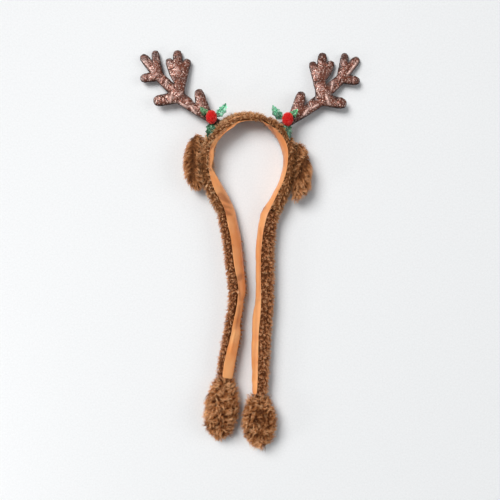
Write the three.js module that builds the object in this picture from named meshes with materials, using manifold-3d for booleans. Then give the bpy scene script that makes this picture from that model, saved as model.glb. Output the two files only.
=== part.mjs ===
// Reindeer antler headband: a plush head arch lined with satin, two long plush straps that end in paws,
// two folded ears, two stuffed antlers, and a holly sprig with a pompom berry at the root of each antler.
// It lies on a flat surface. Millimetres: X to the right, Y from the paws to the antlers, Z up.
import * as THREE from "three";
import { mergeVertices } from "three/addons/utils/BufferGeometryUtils.js";
import Module from "manifold-3d";

const wasm = await Module();
wasm.setup();

// Sleeve: the padded tube of plush and satin on the arch and both straps
const ARCH_RADIUS = 60.5; // head arch, to the middle of the sleeve
const SLEEVE_WIDTH = 34; // across the flat tube on the arch
const LINING_BULGE = 8; // from the middle of the tube to the face of the lining
const PLUSH_BULGE = 7.4; // from the middle of the tube to the backing of the plush
const LINING_WALL = 1.5;
const LINING_HALF_ANGLE = 52; // degrees round the tube that the lining covers, each side of its middle
const LEFT_DROP = 246; // arch end to paw, straight down
const RIGHT_DROP = 271.5;
const SLEEVE_PILE = 3.4; // height of a plush tuft on the sleeve
const FLOOR_PRESS = 1; // how much the surface presses flat
const SLEEVE_STEP = 10.2; // length of one row of tufts
const GAP = 0.4; // between pieces that touch

// Paws
const LEFT_PAW_LENGTH = 92;
const RIGHT_PAW_LENGTH = 78;
const PAW_WIDTH = 53;
const PAW_HEIGHT = 36;
const PAW_PILE = 4.5;

// Ears
const LEFT_EAR_LENGTH = 81;
const RIGHT_EAR_LENGTH = 90;
const EAR_WIDTH = 33; // across the folded ear
const EAR_DEPTH = 38; // above the surface
const EAR_PILE = 5;
const EAR_PRESS = 6; // how far the arch presses into the side of an ear
const EAR_TAB = 6; // half width of the tab sewn into the arch
const EAR_TAB_FLATNESS = 1.3; // height of the tab over its width
const EAR_TAB_SINK = 2; // how far from the middle of the sleeve the tab ends

// Antlers
const ANTLER_LENGTH = 153; // root to the furthest tip
const ANTLER_FLATNESS = 0.62; // thickness of a stuffed branch over its width
const ANTLER_SINK = 6; // how far from the middle of the sleeve the root's middle lies
const ANTLER_DROOP = 17; // fall towards the surface over a length of the antler

// Holly sprigs
const BERRY_WIDTH = 17;
const BERRY_LENGTH = 21;
const BERRY_HEIGHT = 17;
const BERRY_PILE = 1.6;
const LEAF_LENGTH = 22; // blade, without its stem
const LEAF_WIDTH = 12.5;
const LEAF_WALL = 0.9;
const LEAF_STEM = 3; // width of the stem

const COLOURS = {
  plush: { color: 0x8a5a34, roughness: 0.95, metalness: 0 },
  satin: { color: 0xe08a4a, roughness: 0.55, metalness: 0 },
  glitter: { color: 0x7a4a3c, roughness: 0.35, metalness: 0.6 },
  berry: { color: 0xd01c1c, roughness: 0.9, metalness: 0 },
  leaf: { color: 0x2f9a5c, roughness: 0.35, metalness: 0.4 },
};

// Route and sections of the sleeve on the arch, from the end of the left leg over the top to the end of the
// right leg: polar angle in degrees, reach in shares of ARCH_RADIUS, thickness and width in shares of the
// sleeve's, and roll in degrees, which turns the lining upwards.
const ARCH = [
  { angle: 247.6, reach: 1.382, thick: 1.3, wide: 0.88, roll: 40 },
  { angle: 237.6, reach: 1.224, thick: 1.28, wide: 0.9, roll: 36 },
  { angle: 223.2, reach: 1.122, thick: 1.2, wide: 0.94, roll: 27 },
  { angle: 212.1, reach: 1.073, thick: 1.1, wide: 0.97, roll: 18 },
  { angle: 198.1, reach: 1.038, thick: 1, wide: 1, roll: 11 },
  { angle: 184.3, reach: 1, thick: 1, wide: 1, roll: 10 },
  { angle: 160, reach: 1, thick: 1, wide: 1, roll: 8 },
  { angle: 135, reach: 1, thick: 0.94, wide: 1, roll: -12 },
  { angle: 110, reach: 1.005, thick: 0.7, wide: 1, roll: -26 },
  { angle: 87, reach: 1.01, thick: 0.64, wide: 1, roll: -20 },
  { angle: 63, reach: 1.005, thick: 0.72, wide: 1, roll: -4 },
  { angle: 39, reach: 1, thick: 0.94, wide: 1, roll: 12 },
  { angle: 17, reach: 1, thick: 1, wide: 1, roll: 19 },
  { angle: -4.3, reach: 1, thick: 1, wide: 1, roll: 12 },
  { angle: -30.5, reach: 1.074, thick: 1.15, wide: 0.95, roll: 11 },
  { angle: -46.4, reach: 1.163, thick: 1.3, wide: 0.88, roll: 13 },
  { angle: -58.2, reach: 1.289, thick: 1.42, wide: 0.82, roll: 17 },
  { angle: -65.6, reach: 1.404, thick: 1.45, wide: 0.8, roll: 21 },
];

// The straps from the arch to the paw: down in shares of the drop, across in shares of ARCH_RADIUS, and fan,
// which holds the paws apart, in shares of PAW_WIDTH.
const LEFT_STRAP = [
  { down: 0.052, across: -0.484, fan: 0, thick: 1.36, wide: 0.88, roll: 40 },
  { down: 0.172, across: -0.38, fan: 0, thick: 1.42, wide: 0.88, roll: 41 },
  { down: 0.315, across: -0.318, fan: 0, thick: 1.46, wide: 0.88, roll: 38 },
  { down: 0.462, across: -0.25, fan: 0, thick: 1.45, wide: 0.86, roll: 30 },
  { down: 0.559, across: -0.258, fan: 0, thick: 1.34, wide: 0.86, roll: 32 },
  { down: 0.656, across: -0.295, fan: -0.03, thick: 1.2, wide: 0.87, roll: 38 },
  { down: 0.753, across: -0.292, fan: -0.1, thick: 1.12, wide: 0.88, roll: 42 },
  { down: 0.85, across: -0.27, fan: -0.22, thick: 1.08, wide: 0.88, roll: 47 },
  { down: 0.935, across: -0.23, fan: -0.33, thick: 1.1, wide: 0.86, roll: 50 },
  { down: 1, across: -0.19, fan: -0.42, thick: 1.1, wide: 0.82, roll: 47 },
];
const RIGHT_STRAP = [
  { down: 0.066, across: 0.472, fan: 0, thick: 1.58, wide: 0.8, roll: 23 },
  { down: 0.185, across: 0.404, fan: 0, thick: 1.66, wide: 0.79, roll: 21 },
  { down: 0.286, across: 0.39, fan: 0, thick: 1.68, wide: 0.78, roll: 20 },
  { down: 0.418, across: 0.388, fan: 0, thick: 1.68, wide: 0.78, roll: 22 },
  { down: 0.505, across: 0.364, fan: 0.02, thick: 1.68, wide: 0.78, roll: 24 },
  { down: 0.637, across: 0.244, fan: 0.1, thick: 1.66, wide: 0.78, roll: 24 },
  { down: 0.769, across: 0.088, fan: 0.25, thick: 1.56, wide: 0.77, roll: 22 },
  { down: 0.901, across: -0.055, fan: 0.4, thick: 1.36, wide: 0.75, roll: 19 },
  { down: 1, across: -0.172, fan: 0.5, thick: 1.2, wide: 0.72, roll: 15 },
];
const PLUSH_CELLS = 7; // tufts round the plush side of the sleeve
const LINING_CELLS = 3;

// Paw sections from the neck to the tip: width and height in shares of the paw's
const PAW = [
  { along: 0, wide: 0.46, high: 0.56 },
  { along: 0.08, wide: 0.58, high: 0.66 },
  { along: 0.2, wide: 0.76, high: 0.84 },
  { along: 0.36, wide: 0.9, high: 0.96 },
  { along: 0.52, wide: 0.95, high: 1 },
  { along: 0.68, wide: 0.88, high: 0.97 },
  { along: 0.82, wide: 0.7, high: 0.85 },
  { along: 0.92, wide: 0.49, high: 0.6 },
  { along: 0.98, wide: 0.26, high: 0.3 },
  { along: 1, wide: 0.08, high: 0.08 },
];
const PAW_CELLS = 16;
const PAW_TURNS = { left: -96, right: -88 }; // degrees, the way the paws point
const PAW_TIP_RISE = 0.45; // height of the tip's middle in shares of half the paw's height
const PAW_BEND = 0.35; // share of its length over which a paw turns that way
// Palm of the right paw, in shares of its length, width and height
const PAW_DENT = { along: 0.5, side: 0.04, depth: 0.3, reach: 0.2 };

// Ear sections from the top to the tip: shift to the outside and width in shares of EAR_WIDTH, depth in
// shares of EAR_DEPTH, and groove, the fold between the halves, in shares of the section's own radius.
const EAR = [
  { along: 0, shift: -0.1, wide: 0.12, high: 0.1, groove: 0 },
  { along: 0.025, shift: -0.1, wide: 0.34, high: 0.3, groove: 0.05 },
  { along: 0.09, shift: -0.1, wide: 0.58, high: 0.6, groove: 0.2 },
  { along: 0.2, shift: -0.06, wide: 0.78, high: 0.82, groove: 0.38 },
  { along: 0.34, shift: 0, wide: 0.86, high: 0.95, groove: 0.46 },
  { along: 0.5, shift: 0.02, wide: 0.9, high: 1, groove: 0.48 },
  { along: 0.65, shift: 0.02, wide: 0.86, high: 0.96, groove: 0.44 },
  { along: 0.79, shift: -0.02, wide: 0.76, high: 0.84, groove: 0.34 },
  { along: 0.9, shift: -0.05, wide: 0.56, high: 0.64, groove: 0.2 },
  { along: 0.975, shift: -0.06, wide: 0.3, high: 0.34, groove: 0.05 },
  { along: 1, shift: -0.06, wide: 0.1, high: 0.1, groove: 0 },
];
const EAR_CELLS = 14;
const EAR_PILE_SHARE = 0.35; // how much of its pile stands up, with the rest lying down the ear
const EAR_FOLD = 26; // degrees round the ear over which the fold between its halves dies out
const EAR_TAB_TAPER = 0.7; // width of the tab at the arch over its width at the ear
const EAR_SEATS = {
  left: { angle: 157, rise: 12, length: LEFT_EAR_LENGTH }, // rise: the ear's top above its tab
  right: { angle: 21, rise: 3.5, length: RIGHT_EAR_LENGTH },
};

// Antler knots: across, up and half width in shares of ANTLER_LENGTH, and the branches that join them
const BRANCH_SIDES = 10;
const BRANCH_ARCS = 2; // steps round a branch's end
const KNOTS = {
  root: { across: 0, up: 0, half: 0.039 },
  foot: { across: 0.068, up: 0.045, half: 0.041 },
  beam: { across: 0.266, up: 0.178, half: 0.056 },
  fork: { across: 0.39, up: 0.262, half: 0.059 },
  neck: { across: 0.457, up: 0.341, half: 0.051 },
  crown: { across: 0.583, up: 0.466, half: 0.049 },
  tip: { across: 0.721, up: 0.637, half: 0.042 },
  crownUp: { across: 0.614, up: 0.678, half: 0.036 },
  crownOut: { across: 0.719, up: 0.444, half: 0.042 },
  palm: { across: 0.382, up: 0.348, half: 0.051 },
  palmOuter: { across: 0.477, up: 0.6, half: 0.039 },
  palmMiddle: { across: 0.399, up: 0.672, half: 0.044 },
  palmInner: { across: 0.308, up: 0.593, half: 0.039 },
  spur: { across: 0.582, up: 0.226, half: 0.052 },
  browFoot: { across: 0.142, up: 0.127, half: 0.059 },
  brow: { across: 0.191, up: 0.294, half: 0.047 },
};
const BRANCHES = [
  ["root", "foot"],
  ["foot", "beam"],
  ["beam", "fork"],
  ["fork", "neck"],
  ["neck", "crown"],
  ["crown", "tip"],
  ["crown", "crownUp"],
  ["crown", "crownOut"],
  ["fork", "palm"],
  ["palm", "palmOuter"],
  ["palm", "palmMiddle"],
  ["palm", "palmInner"],
  ["fork", "spur"],
  ["foot", "browFoot"],
  ["browFoot", "brow"],
];
const ANTLER_SEATS = { left: 130.4, right: 42.9 }; // degrees round the arch

// Holly leaves round the foot of the antler: the stem's length in shares of LEAF_LENGTH, the direction in
// degrees at the stem and at the tip, the rise of the tip in shares of LEAF_LENGTH, and bend, the power of
// the length by which it rises. The lower leaf lies up on the plush.
const LEAVES = [
  { name: "inner", stem: 0.38, from: 172, to: 104, rise: 0.16, bend: 2 },
  { name: "outer", stem: 0.1, from: 44, to: 50, rise: 0.42, bend: 2 },
  { name: "lower", stem: 0.24, from: -97, to: -71, rise: 0.45, bend: 1 },
];
// Leaf blade: half width, with its spikes, in shares of half LEAF_WIDTH
const BLADE = [
  { along: 0, half: 0.25 },
  { along: 0.16, half: 0.66 },
  { along: 0.26, half: 1 },
  { along: 0.42, half: 0.7 },
  { along: 0.56, half: 0.97 },
  { along: 0.7, half: 0.52 },
  { along: 0.8, half: 0.6 },
  { along: 0.9, half: 0.24 },
];
const LEAF_CREASE = 0.12; // rise of the leaf's margins in shares of LEAF_WIDTH
const BERRY_RINGS = 6;
const BERRY_CELLS = 10;
const BERRY_CROWN = 72; // degrees from its waist to its last ring
const BERRY_SHIFT = 0.14; // berry's middle above the sprig's, in shares of BERRY_LENGTH

const UP = new THREE.Vector3(0, 0, 1);
const at = (x, y, z = 0) => new THREE.Vector3(x, y, z);
const radians = THREE.MathUtils.degToRad;
const polar = (degrees, reach) => at(reach * Math.cos(radians(degrees)), reach * Math.sin(radians(degrees)));

// Numbers from one to another in equal steps
function spread(from, to, steps) {
  return Array.from({ length: steps + 1 }, (_, k) => from + ((to - from) * k) / steps);
}

const around = (cells) => spread(0, 360, cells).slice(0, -1);

// A fixed number between 0 and 1 for a pair of counters, for tufts that don't look ruled
function scatter(i, j) {
  const s = Math.sin(i * 12.9898 + j * 78.233) * 43758.5453;
  return s - Math.floor(s);
}

// The value of a column between two rows of a table
function between(rows, column, key, value) {
  const last = rows.length - 1;
  if (value <= rows[0][key]) return rows[0][column];
  if (value >= rows[last][key]) return rows[last][column];
  const next = rows.findIndex((row) => row[key] > value);
  const share = (value - rows[next - 1][key]) / (rows[next][key] - rows[next - 1][key]);
  return THREE.MathUtils.lerp(rows[next - 1][column], rows[next][column], share);
}

// Places and directions on a level line from a start, which turns as heading(along) says, in degrees
function bentLine(start, length, stops, heading) {
  let place = start.clone();
  let reached = 0;
  return stops.map((along) => {
    place = place.clone().add(polar(heading((reached + along) / 2), (along - reached) * length));
    reached = along;
    return { place, direction: polar(heading(along), 1) };
  });
}

// A closed geometry of vertices and triangles, with its faces turned outwards
function closedGeometry(vertices, triangles) {
  let volume = 0;
  for (const [a, b, c] of triangles) {
    volume += vertices[a].dot(vertices[b].clone().cross(vertices[c]));
  }
  const turned = volume < 0 ? triangles.map(([a, b, c]) => [a, c, b]) : triangles;
  return new THREE.BufferGeometry()
    .setFromPoints(vertices)
    .setIndex(turned.flat());
}

function toSolid(geometry) {
  const bare = geometry.clone();
  bare.deleteAttribute("normal");
  bare.deleteAttribute("uv");
  const merged = mergeVertices(bare, 1e-4);
  return new wasm.Manifold(
    new wasm.Mesh({
      numProp: 3,
      vertProperties: merged.attributes.position.array,
      triVerts: new Uint32Array(merged.index.array),
    }),
  );
}

function toGeometry(solid) {
  const mesh = solid.getMesh();
  return new THREE.BufferGeometry()
    .setAttribute("position", new THREE.BufferAttribute(mesh.vertProperties, 3))
    .setIndex(new THREE.BufferAttribute(mesh.triVerts, 1));
}

// Triangles that close a flat ring, in the order of its points
function capFaces(ring) {
  const following = (k) => ring[(k + 1) % ring.length];
  const normal = at(0, 0);
  ring.forEach((p, k) => normal.add(p.clone().sub(ring[0]).cross(following(k).clone().sub(p))));
  normal.normalize();
  const right = ring[1].clone().sub(ring[0]).projectOnPlane(normal).normalize();
  const ahead = normal.clone().cross(right);
  const flat = ring.map((p) => new THREE.Vector2(p.dot(right), p.dot(ahead)));
  return THREE.ShapeUtils.triangulateShape(flat, []);
}

function middleOf(points) {
  return points.reduce((sum, p) => sum.add(p), at(0, 0)).divideScalar(points.length);
}

// Skins rings of equally many points and caps both ends. A cell for which tuft(ring, column) gives a height
// and a lean gets a lock of plush: four faces that meet in a raised point. Nothing goes below the surface.
function skin(rings, tuft = () => null) {
  const count = rings[0].length;
  const vertices = rings.flat().map((p) => p.clone());
  const triangles = [];
  for (let i = 0; i + 1 < rings.length; i++) {
    for (let j = 0; j < count; j++) {
      const next = (j + 1) % count;
      const corners = [i * count + j, i * count + next, (i + 1) * count + next, (i + 1) * count + j];
      const lock = tuft(i, j);
      if (!lock) {
        triangles.push([corners[0], corners[1], corners[2]], [corners[0], corners[2], corners[3]]);
        continue;
      }
      const [a, b, c, d] = corners.map((k) => vertices[k]);
      const outwards = c.clone().sub(a).cross(d.clone().sub(b)).normalize();
      const root = middleOf([a, b, c, d]);
      const inside = middleOf([...rings[i], ...rings[i + 1]]);
      if (outwards.dot(root.clone().sub(inside)) < 0) outwards.negate();
      const peak = vertices.push(root.addScaledVector(outwards, lock.height).add(lock.lean)) - 1;
      corners.forEach((corner, k) => triangles.push([corner, corners[(k + 1) % 4], peak]));
    }
  }
  const last = rings.length - 1;
  capFaces(rings[0]).forEach((face) => triangles.push(face.toReversed()));
  capFaces(rings[last]).forEach((face) => triangles.push(face.map((k) => last * count + k)));
  vertices.forEach((p) => (p.z = Math.max(p.z, 0)));
  return closedGeometry(vertices, triangles);
}

// Sleeve route

const SLEEVE_PLACES = [
  ...LEFT_STRAP.map((row) => ({ row, drop: LEFT_DROP, end: ARCH[0] })).reverse(),
  ...ARCH.map((row) => ({ row })),
  ...RIGHT_STRAP.map((row) => ({ row, drop: RIGHT_DROP, end: ARCH[ARCH.length - 1] })),
];
const SLEEVE_ROWS = SLEEVE_PLACES.map(({ row, drop, end }, station) => {
  const place = drop
    ? at(
        row.across * ARCH_RADIUS + row.fan * PAW_WIDTH,
        polar(end.angle, end.reach * ARCH_RADIUS).y - row.down * drop,
      )
    : polar(row.angle, row.reach * ARCH_RADIUS);
  return { ...row, place, station };
});
const ROUTE = new THREE.CatmullRomCurve3(SLEEVE_ROWS.map((row) => row.place), false, "centripetal");
const ROUTE_STEPS = 400; // for measuring lengths along the route
const LAST_STATION = SLEEVE_ROWS.length - 1;
const ARCH_START = LEFT_STRAP.length;
const ARCH_END = LEFT_STRAP.length + ARCH.length - 1;

// The frame and size of the sleeve at a station: inwards points to the lining, lift seats it on the surface
function sleeveSection(station) {
  const share = station / LAST_STATION;
  const forward = ROUTE.getTangent(share);
  const roll = radians(between(SLEEVE_ROWS, "roll", "station", station));
  const thick = between(SLEEVE_ROWS, "thick", "station", station);
  const level = at(forward.y, -forward.x);
  const inwards = level.clone().multiplyScalar(Math.cos(roll)).addScaledVector(UP, Math.sin(roll));
  const along = level.multiplyScalar(-Math.sin(roll)).addScaledVector(UP, Math.cos(roll));
  const half = (SLEEVE_WIDTH / 2) * between(SLEEVE_ROWS, "wide", "station", station);
  const bulge = thick * LINING_BULGE;
  const back = thick * PLUSH_BULGE;
  const lift = Math.hypot(back * Math.sin(roll), half * Math.cos(roll)) - FLOOR_PRESS;
  return { place: ROUTE.getPoint(share), forward, inwards, along, half, bulge, back, lift };
}

// A point of a section at an angle from the middle of the lining, and a depth below the skin
function sleevePoint(section, degrees, depth = 0) {
  const cosine = Math.cos(radians(degrees));
  const radius = (cosine > 0 ? section.bulge : section.back) - depth;
  return section.place
    .clone()
    .addScaledVector(section.inwards, radius * cosine)
    .addScaledVector(section.along, (section.half - depth) * Math.sin(radians(degrees)))
    .addScaledVector(UP, section.lift);
}

// Stations from one to another, one row of tufts apart, less a gap at either end
function sleeveStations(from, to) {
  const stops = spread(from, to, ROUTE_STEPS);
  const places = stops.map((station) => ROUTE.getPoint(station / LAST_STATION));
  const lengths = [0];
  places.slice(1).forEach((place, k) => lengths.push(lengths[k] + place.distanceTo(places[k])));
  const whole = lengths[ROUTE_STEPS] - GAP;
  const rows = Math.round(whole / SLEEVE_STEP);
  return Array.from({ length: rows + 1 }, (_, k) => {
    const target = GAP / 2 + (whole * k) / rows;
    const next = Math.max(1, lengths.findIndex((length) => length >= target));
    const share = (target - lengths[next - 1]) / (lengths[next] - lengths[next - 1]);
    return THREE.MathUtils.lerp(stops[next - 1], stops[next], share);
  });
}

const LINING_EDGE = LINING_HALF_ANGLE - 2; // the lining stops short of the plush beside it
const LINING_ANGLES = spread(-LINING_EDGE, LINING_EDGE, LINING_CELLS);

function plushRing(section) {
  const seat = LINING_WALL + GAP;
  return [
    ...spread(LINING_HALF_ANGLE, 360 - LINING_HALF_ANGLE, PLUSH_CELLS).map((a) => sleevePoint(section, a)),
    ...spread(-LINING_HALF_ANGLE, LINING_HALF_ANGLE, LINING_CELLS).map((a) => sleevePoint(section, a, seat)),
  ];
}

// Nap runs down both straps, away from the top of the arch
function sleevePlush(from, to) {
  const sections = sleeveStations(from, to).map((station) => ({ station, ...sleeveSection(station) }));
  const top = (ARCH_START + ARCH_END) / 2;
  return skin(sections.map(plushRing), (i, j) => {
    if (j >= PLUSH_CELLS) return null;
    const seam = j === 0 || j === PLUSH_CELLS - 1;
    const height = SLEEVE_PILE * (seam ? 0.45 : 1) * (0.6 + 0.4 * scatter(i, j));
    const nap = (sections[i].station < top ? -1 : 1) * SLEEVE_PILE * (0.2 + 0.5 * scatter(j, i));
    return { height, lean: sections[i].forward.clone().multiplyScalar(nap) };
  });
}

function sleeveLining(from, to) {
  return skin(
    sleeveStations(from, to).map((station) => {
      const section = sleeveSection(station);
      return [
        ...LINING_ANGLES.map((a) => sleevePoint(section, a, LINING_WALL)),
        ...LINING_ANGLES.toReversed().map((a) => sleevePoint(section, a)),
      ];
    }),
  );
}

// Paws

// A paw beyond the end of a strap; palm dents its upper side
function paw(side, length, palm) {
  const atStart = side === "left";
  const end = sleeveSection(atStart ? 0 : LAST_STATION);
  const onwards = end.forward.clone().multiplyScalar(atStart ? -1 : 1);
  const first = THREE.MathUtils.radToDeg(Math.atan2(onwards.y, onwards.x));
  const heading = (along) => THREE.MathUtils.lerp(first, PAW_TURNS[side], Math.min(1, along / PAW_BEND));
  const start = end.place.clone().addScaledVector(onwards, GAP);
  const line = bentLine(start, length, PAW.map((row) => row.along), heading);
  const rings = line.map(({ place, direction }, k) => {
    const row = PAW[k];
    const halfHeight = (PAW_HEIGHT - PAW_PILE) / 2;
    const high = halfHeight * row.high;
    const wide = (PAW_WIDTH / 2 - PAW_PILE / 4) * row.wide;
    const rest = halfHeight * THREE.MathUtils.lerp(PAW_TIP_RISE, 1, row.high) - FLOOR_PRESS;
    const rise = THREE.MathUtils.lerp(end.lift, rest, Math.min(1, row.along / PAW_BEND));
    return around(PAW_CELLS).map((degrees) => {
      const sideways = Math.cos(radians(degrees));
      const upwards = Math.sin(radians(degrees));
      const away = Math.hypot(row.along - PAW_DENT.along, (sideways * row.wide) / 2 - PAW_DENT.side);
      const dent = upwards > 0 ? palm * PAW_DENT.depth * Math.exp(-((away / PAW_DENT.reach) ** 2)) : 0;
      return place
        .clone()
        .add(at(direction.y, -direction.x).multiplyScalar(wide * sideways))
        .addScaledVector(UP, rise + high * upwards * (1 - dent));
    });
  });
  return skin(rings, (i, j) => ({
    height: PAW_PILE * (0.45 + 0.55 * scatter(i, j)),
    lean: onwards.clone().multiplyScalar(PAW[i].wide * PAW_PILE * (0.4 + 0.5 * scatter(j, i))),
  }));
}

// Branches, ear tabs and other capsules

// A capsule in the XY plane between two round ends, thinned or thickened in Z
function capsuleShape(start, end, startRadius, endRadius, flatness) {
  const length = start.distanceTo(end);
  const profile = [];
  for (let k = 0; k <= BRANCH_ARCS; k++) {
    const turn = (k / BRANCH_ARCS) * (Math.PI / 2);
    profile.push(new THREE.Vector2(startRadius * Math.sin(turn), -startRadius * Math.cos(turn)));
  }
  for (let k = 0; k <= BRANCH_ARCS; k++) {
    const turn = (k / BRANCH_ARCS) * (Math.PI / 2);
    profile.push(new THREE.Vector2(endRadius * Math.cos(turn), length + endRadius * Math.sin(turn)));
  }
  profile[0].x = 0;
  profile[profile.length - 1].x = 0;
  const heading = Math.atan2(end.y - start.y, end.x - start.x) - Math.PI / 2;
  const geometry = new THREE.LatheGeometry(profile, BRANCH_SIDES);
  return geometry.scale(1, 1, flatness).rotateZ(heading).translate(start.x, start.y, start.z);
}

const capsule = (...sizes) => toSolid(capsuleShape(...sizes));

// Antler

const ARCH_MIDDLE = SLEEVE_WIDTH / 2 - FLOOR_PRESS; // height of the antlers' roots

function antlerRoot(side) {
  return polar(ANTLER_SEATS[side], ARCH_RADIUS + ANTLER_SINK).setZ(ARCH_MIDDLE);
}

function knotPlace(side, name) {
  const outwards = side === "left" ? -1 : 1;
  const { across, up } = KNOTS[name];
  return antlerRoot(side).add(at(outwards * across * ANTLER_LENGTH, up * ANTLER_LENGTH));
}

// The antler is level as far as its foot, and falls from there towards the surface
function drooped(geometry, foot) {
  const places = geometry.attributes.position;
  for (let k = 0; k < places.count; k++) {
    const beyond = Math.max(0, places.getY(k) - foot);
    places.setZ(k, places.getZ(k) - (ANTLER_DROOP * beyond) / ANTLER_LENGTH);
  }
  return geometry;
}

function branch(side, [from, to], clearance = 0) {
  const shape = capsuleShape(
    knotPlace(side, from),
    knotPlace(side, to),
    KNOTS[from].half * ANTLER_LENGTH + clearance,
    KNOTS[to].half * ANTLER_LENGTH + clearance,
    ANTLER_FLATNESS,
  );
  return toSolid(drooped(shape, knotPlace(side, "foot").y));
}

function antler(side) {
  return BRANCHES.map((pair) => branch(side, pair)).reduce((whole, part) => whole.add(part));
}

// Ears

const EAR_MIDDLE = ARCH_RADIUS + PLUSH_BULGE + EAR_WIDTH / 2 - EAR_PRESS;

function earTab(side, clearance = 0) {
  const outwards = side === "left" ? -1 : 1;
  const seat = polar(EAR_SEATS[side].angle, ARCH_RADIUS + EAR_TAB_SINK).setZ(ARCH_MIDDLE);
  const inside = at(outwards * EAR_MIDDLE, seat.y - EAR_TAB, ARCH_MIDDLE);
  return capsule(seat, inside, EAR_TAB * EAR_TAB_TAPER + clearance, EAR_TAB + clearance, EAR_TAB_FLATNESS);
}

function ear(side, room) {
  const outwards = side === "left" ? -1 : 1;
  const { angle, rise, length } = EAR_SEATS[side];
  const top = polar(angle, ARCH_RADIUS).y + rise;
  const pile = EAR_PILE * EAR_PILE_SHARE;
  const rings = EAR.map((row) => {
    const high = (EAR_DEPTH / 2 - pile) * row.high;
    const wide = (EAR_WIDTH / 2 - pile) * row.wide;
    const aside = EAR_MIDDLE + row.shift * EAR_WIDTH;
    const middle = at(outwards * aside, top - row.along * length, EAR_DEPTH / 2 - FLOOR_PRESS);
    return around(EAR_CELLS).map((degrees) => {
      const fold = row.groove * Math.exp(-(((degrees - 90) / EAR_FOLD) ** 2));
      return middle
        .clone()
        .addScaledVector(UP, high * Math.sin(radians(degrees)) * (1 - fold))
        .add(at(outwards * wide * Math.cos(radians(degrees)), 0));
    });
  });
  const body = skin(rings, (i, j) => ({
    height: pile * (0.8 + 0.9 * scatter(i, j)),
    lean: at(0, -EAR[i].wide * EAR_PILE * (0.3 + 0.6 * scatter(j, i))),
  }));
  return toSolid(body).subtract(room).add(earTab(side));
}

// Holly

const SPRIG_HEIGHT = ARCH_MIDDLE + KNOTS.foot.half * ANTLER_LENGTH * ANTLER_FLATNESS + GAP;

// The middle line of a leaf turns steadily from its stem's direction to its tip's. With a clearance it is the
// room that the leaf takes, open upwards through the pile.
function leaf(side, { stem, from, to, rise, bend }, clearance = 0) {
  const outwards = side === "left" ? -1 : 1;
  const whole = (1 + stem) * LEAF_LENGTH;
  const rows = [
    { along: LEAF_STEM / whole, half: LEAF_STEM / 2 },
    ...BLADE.map((row) => ({
      along: (stem + row.along) / (1 + stem),
      half: Math.max(LEAF_STEM / 2, (row.half * LEAF_WIDTH) / 2),
    })),
    { along: 1, half: LEAF_WALL / 2 },
  ];
  const heading = (along) => THREE.MathUtils.lerp(from, to, along);
  const foot = knotPlace(side, "foot").setZ(SPRIG_HEIGHT);
  const line = bentLine(at(0, 0), whole, rows.map((row) => row.along), heading);
  const rings = line.map(({ place, direction }, k) => {
    const { along, half } = rows[k];
    const level = rise * LEAF_LENGTH * along ** bend - clearance;
    const margin = level + LEAF_CREASE * half;
    const top = LEAF_WALL + (clearance > 0 ? 2 * SLEEVE_PILE : 0);
    const across = [1, 0, -1, -1, 0, 1];
    const heights = [margin, level, margin, margin + top, level + top, margin + top];
    return across.map((share, m) => {
      const aside = share * (half + clearance);
      const point = place.clone().add(at(-direction.y, direction.x).multiplyScalar(aside));
      return foot.clone().add(at(outwards * point.x, point.y, heights[m]));
    });
  });
  return skin(rings);
}

// A pompom, pressed flat where it sits on the leaves, or the room that it takes with a clearance
function berry(side, clearance = 0) {
  const seat = SPRIG_HEIGHT + LEAF_WALL + GAP;
  const middle = knotPlace(side, "foot").setZ(seat + BERRY_HEIGHT / 2 - BERRY_PILE);
  middle.y += BERRY_SHIFT * BERRY_LENGTH;
  const size = at(BERRY_WIDTH - BERRY_PILE, BERRY_LENGTH - BERRY_PILE, BERRY_HEIGHT - BERRY_PILE);
  const radii = size.multiplyScalar(0.5).addScalar(clearance);
  const rings = spread(-BERRY_CROWN, BERRY_CROWN, BERRY_RINGS).map((latitude) =>
    around(BERRY_CELLS).map((degrees) => {
      const outwards = polar(degrees, Math.cos(radians(latitude))).setZ(Math.sin(radians(latitude)));
      return middle.clone().add(outwards.multiply(radii));
    }),
  );
  const ball = skin(rings, (i, j) => ({ height: BERRY_PILE * (0.5 + 0.5 * scatter(i, j)), lean: at(0, 0) }));
  const places = ball.attributes.position;
  for (let k = 0; k < places.count; k++) places.setZ(k, Math.max(places.getZ(k), seat - clearance));
  return ball;
}

// Assembly

function piece(name, shape, colour) {
  const geometry = shape.isBufferGeometry ? shape : toGeometry(shape);
  geometry.computeVertexNormals();
  const mesh = new THREE.Mesh(geometry, new THREE.MeshStandardMaterial(COLOURS[colour]));
  mesh.name = name;
  return mesh;
}

// The room that the plush of the arch takes up to a height of its pile, from which others are cut back
function plushRoom(pile) {
  const room = sleeveStations(ARCH_START, ARCH_END).map((station) => {
    const section = sleeveSection(station);
    return around(PLUSH_CELLS + LINING_CELLS).map((a) => sleevePoint(section, a, -pile - GAP));
  });
  return toSolid(skin(room));
}

const headband = new THREE.Group();
let archPlush = toSolid(sleevePlush(ARCH_START, ARCH_END));
const pileRoom = plushRoom(SLEEVE_PILE);
const backingRoom = plushRoom(0);
for (const side of ["left", "right"]) {
  archPlush = archPlush.subtract(branch(side, ["root", "foot"], GAP)).subtract(earTab(side, GAP));
  headband.add(piece(`antler_${side}`, antler(side), "glitter"));
  headband.add(piece(`ear_${side}`, ear(side, pileRoom), "plush"));
  headband.add(piece(`berry_${side}`, berry(side), "berry"));
  const berryRoom = toSolid(berry(side, GAP));
  for (const row of LEAVES) {
    const blade = toSolid(leaf(side, row)).subtract(backingRoom).subtract(berryRoom);
    archPlush = archPlush.subtract(toSolid(leaf(side, row, GAP)));
    headband.add(piece(`holly_leaf_${row.name}_${side}`, blade, "leaf"));
  }
}
headband.add(piece("arch_plush", archPlush, "plush"));
headband.add(piece("arch_lining", sleeveLining(ARCH_START, ARCH_END), "satin"));
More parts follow.
